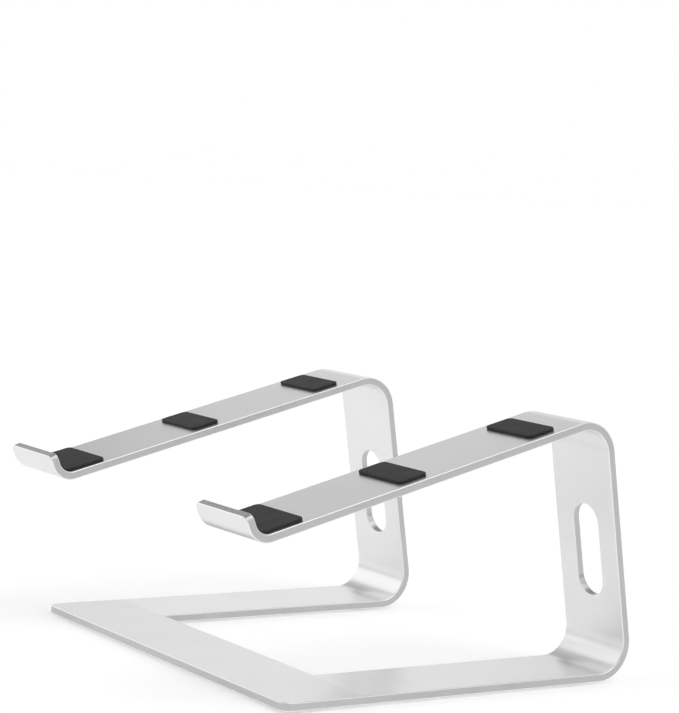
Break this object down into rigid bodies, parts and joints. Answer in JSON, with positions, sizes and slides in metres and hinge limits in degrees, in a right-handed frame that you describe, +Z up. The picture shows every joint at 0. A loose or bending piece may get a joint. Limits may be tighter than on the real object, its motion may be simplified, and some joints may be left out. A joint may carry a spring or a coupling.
{
  "type": "laptop stand",
  "caption": "Free-standing aluminium laptop stand with bent strip legs, sloping arms, front hooks and cable slots, joined by a flat front bar and resting on rubber pads.",
  "frame": {"origin": "on the desk plane under the rubber feet, at the middle of the bounding box", "axes": "+X to the user's right, along the front bar; +Y to the back, towards the columns; +Z up"},
  "size_m": [0.26, 0.2548, 0.1455],
  "materials": {
    "anodised_aluminium": "fine bead-blasted, clear anodised, satin",
    "grey_rubber": "matt dark grey silicone rubber",
    "screw_steel": "plain stainless, turned"
  },
  "bodies": {
    "root": {"front_bar": "anodised_aluminium", "left_leg": "anodised_aluminium", "left_hook_lining": "grey_rubber", "left_arm_pad_front": "grey_rubber", "left_arm_pad_rear": "grey_rubber", "left_foot_pad_front": "grey_rubber", "left_foot_pad_middle": "grey_rubber", "left_foot_pad_rear": "grey_rubber", "left_screw_outer": "screw_steel", "left_screw_middle": "screw_steel", "left_screw_inner": "screw_steel", "right_leg": "anodised_aluminium", "right_hook_lining": "grey_rubber", "right_arm_pad_front": "grey_rubber", "right_arm_pad_rear": "grey_rubber", "right_foot_pad_front": "grey_rubber", "right_foot_pad_middle": "grey_rubber", "right_foot_pad_rear": "grey_rubber", "right_screw_outer": "screw_steel", "right_screw_middle": "screw_steel", "right_screw_inner": "screw_steel"}
  },
  "joints": []
}
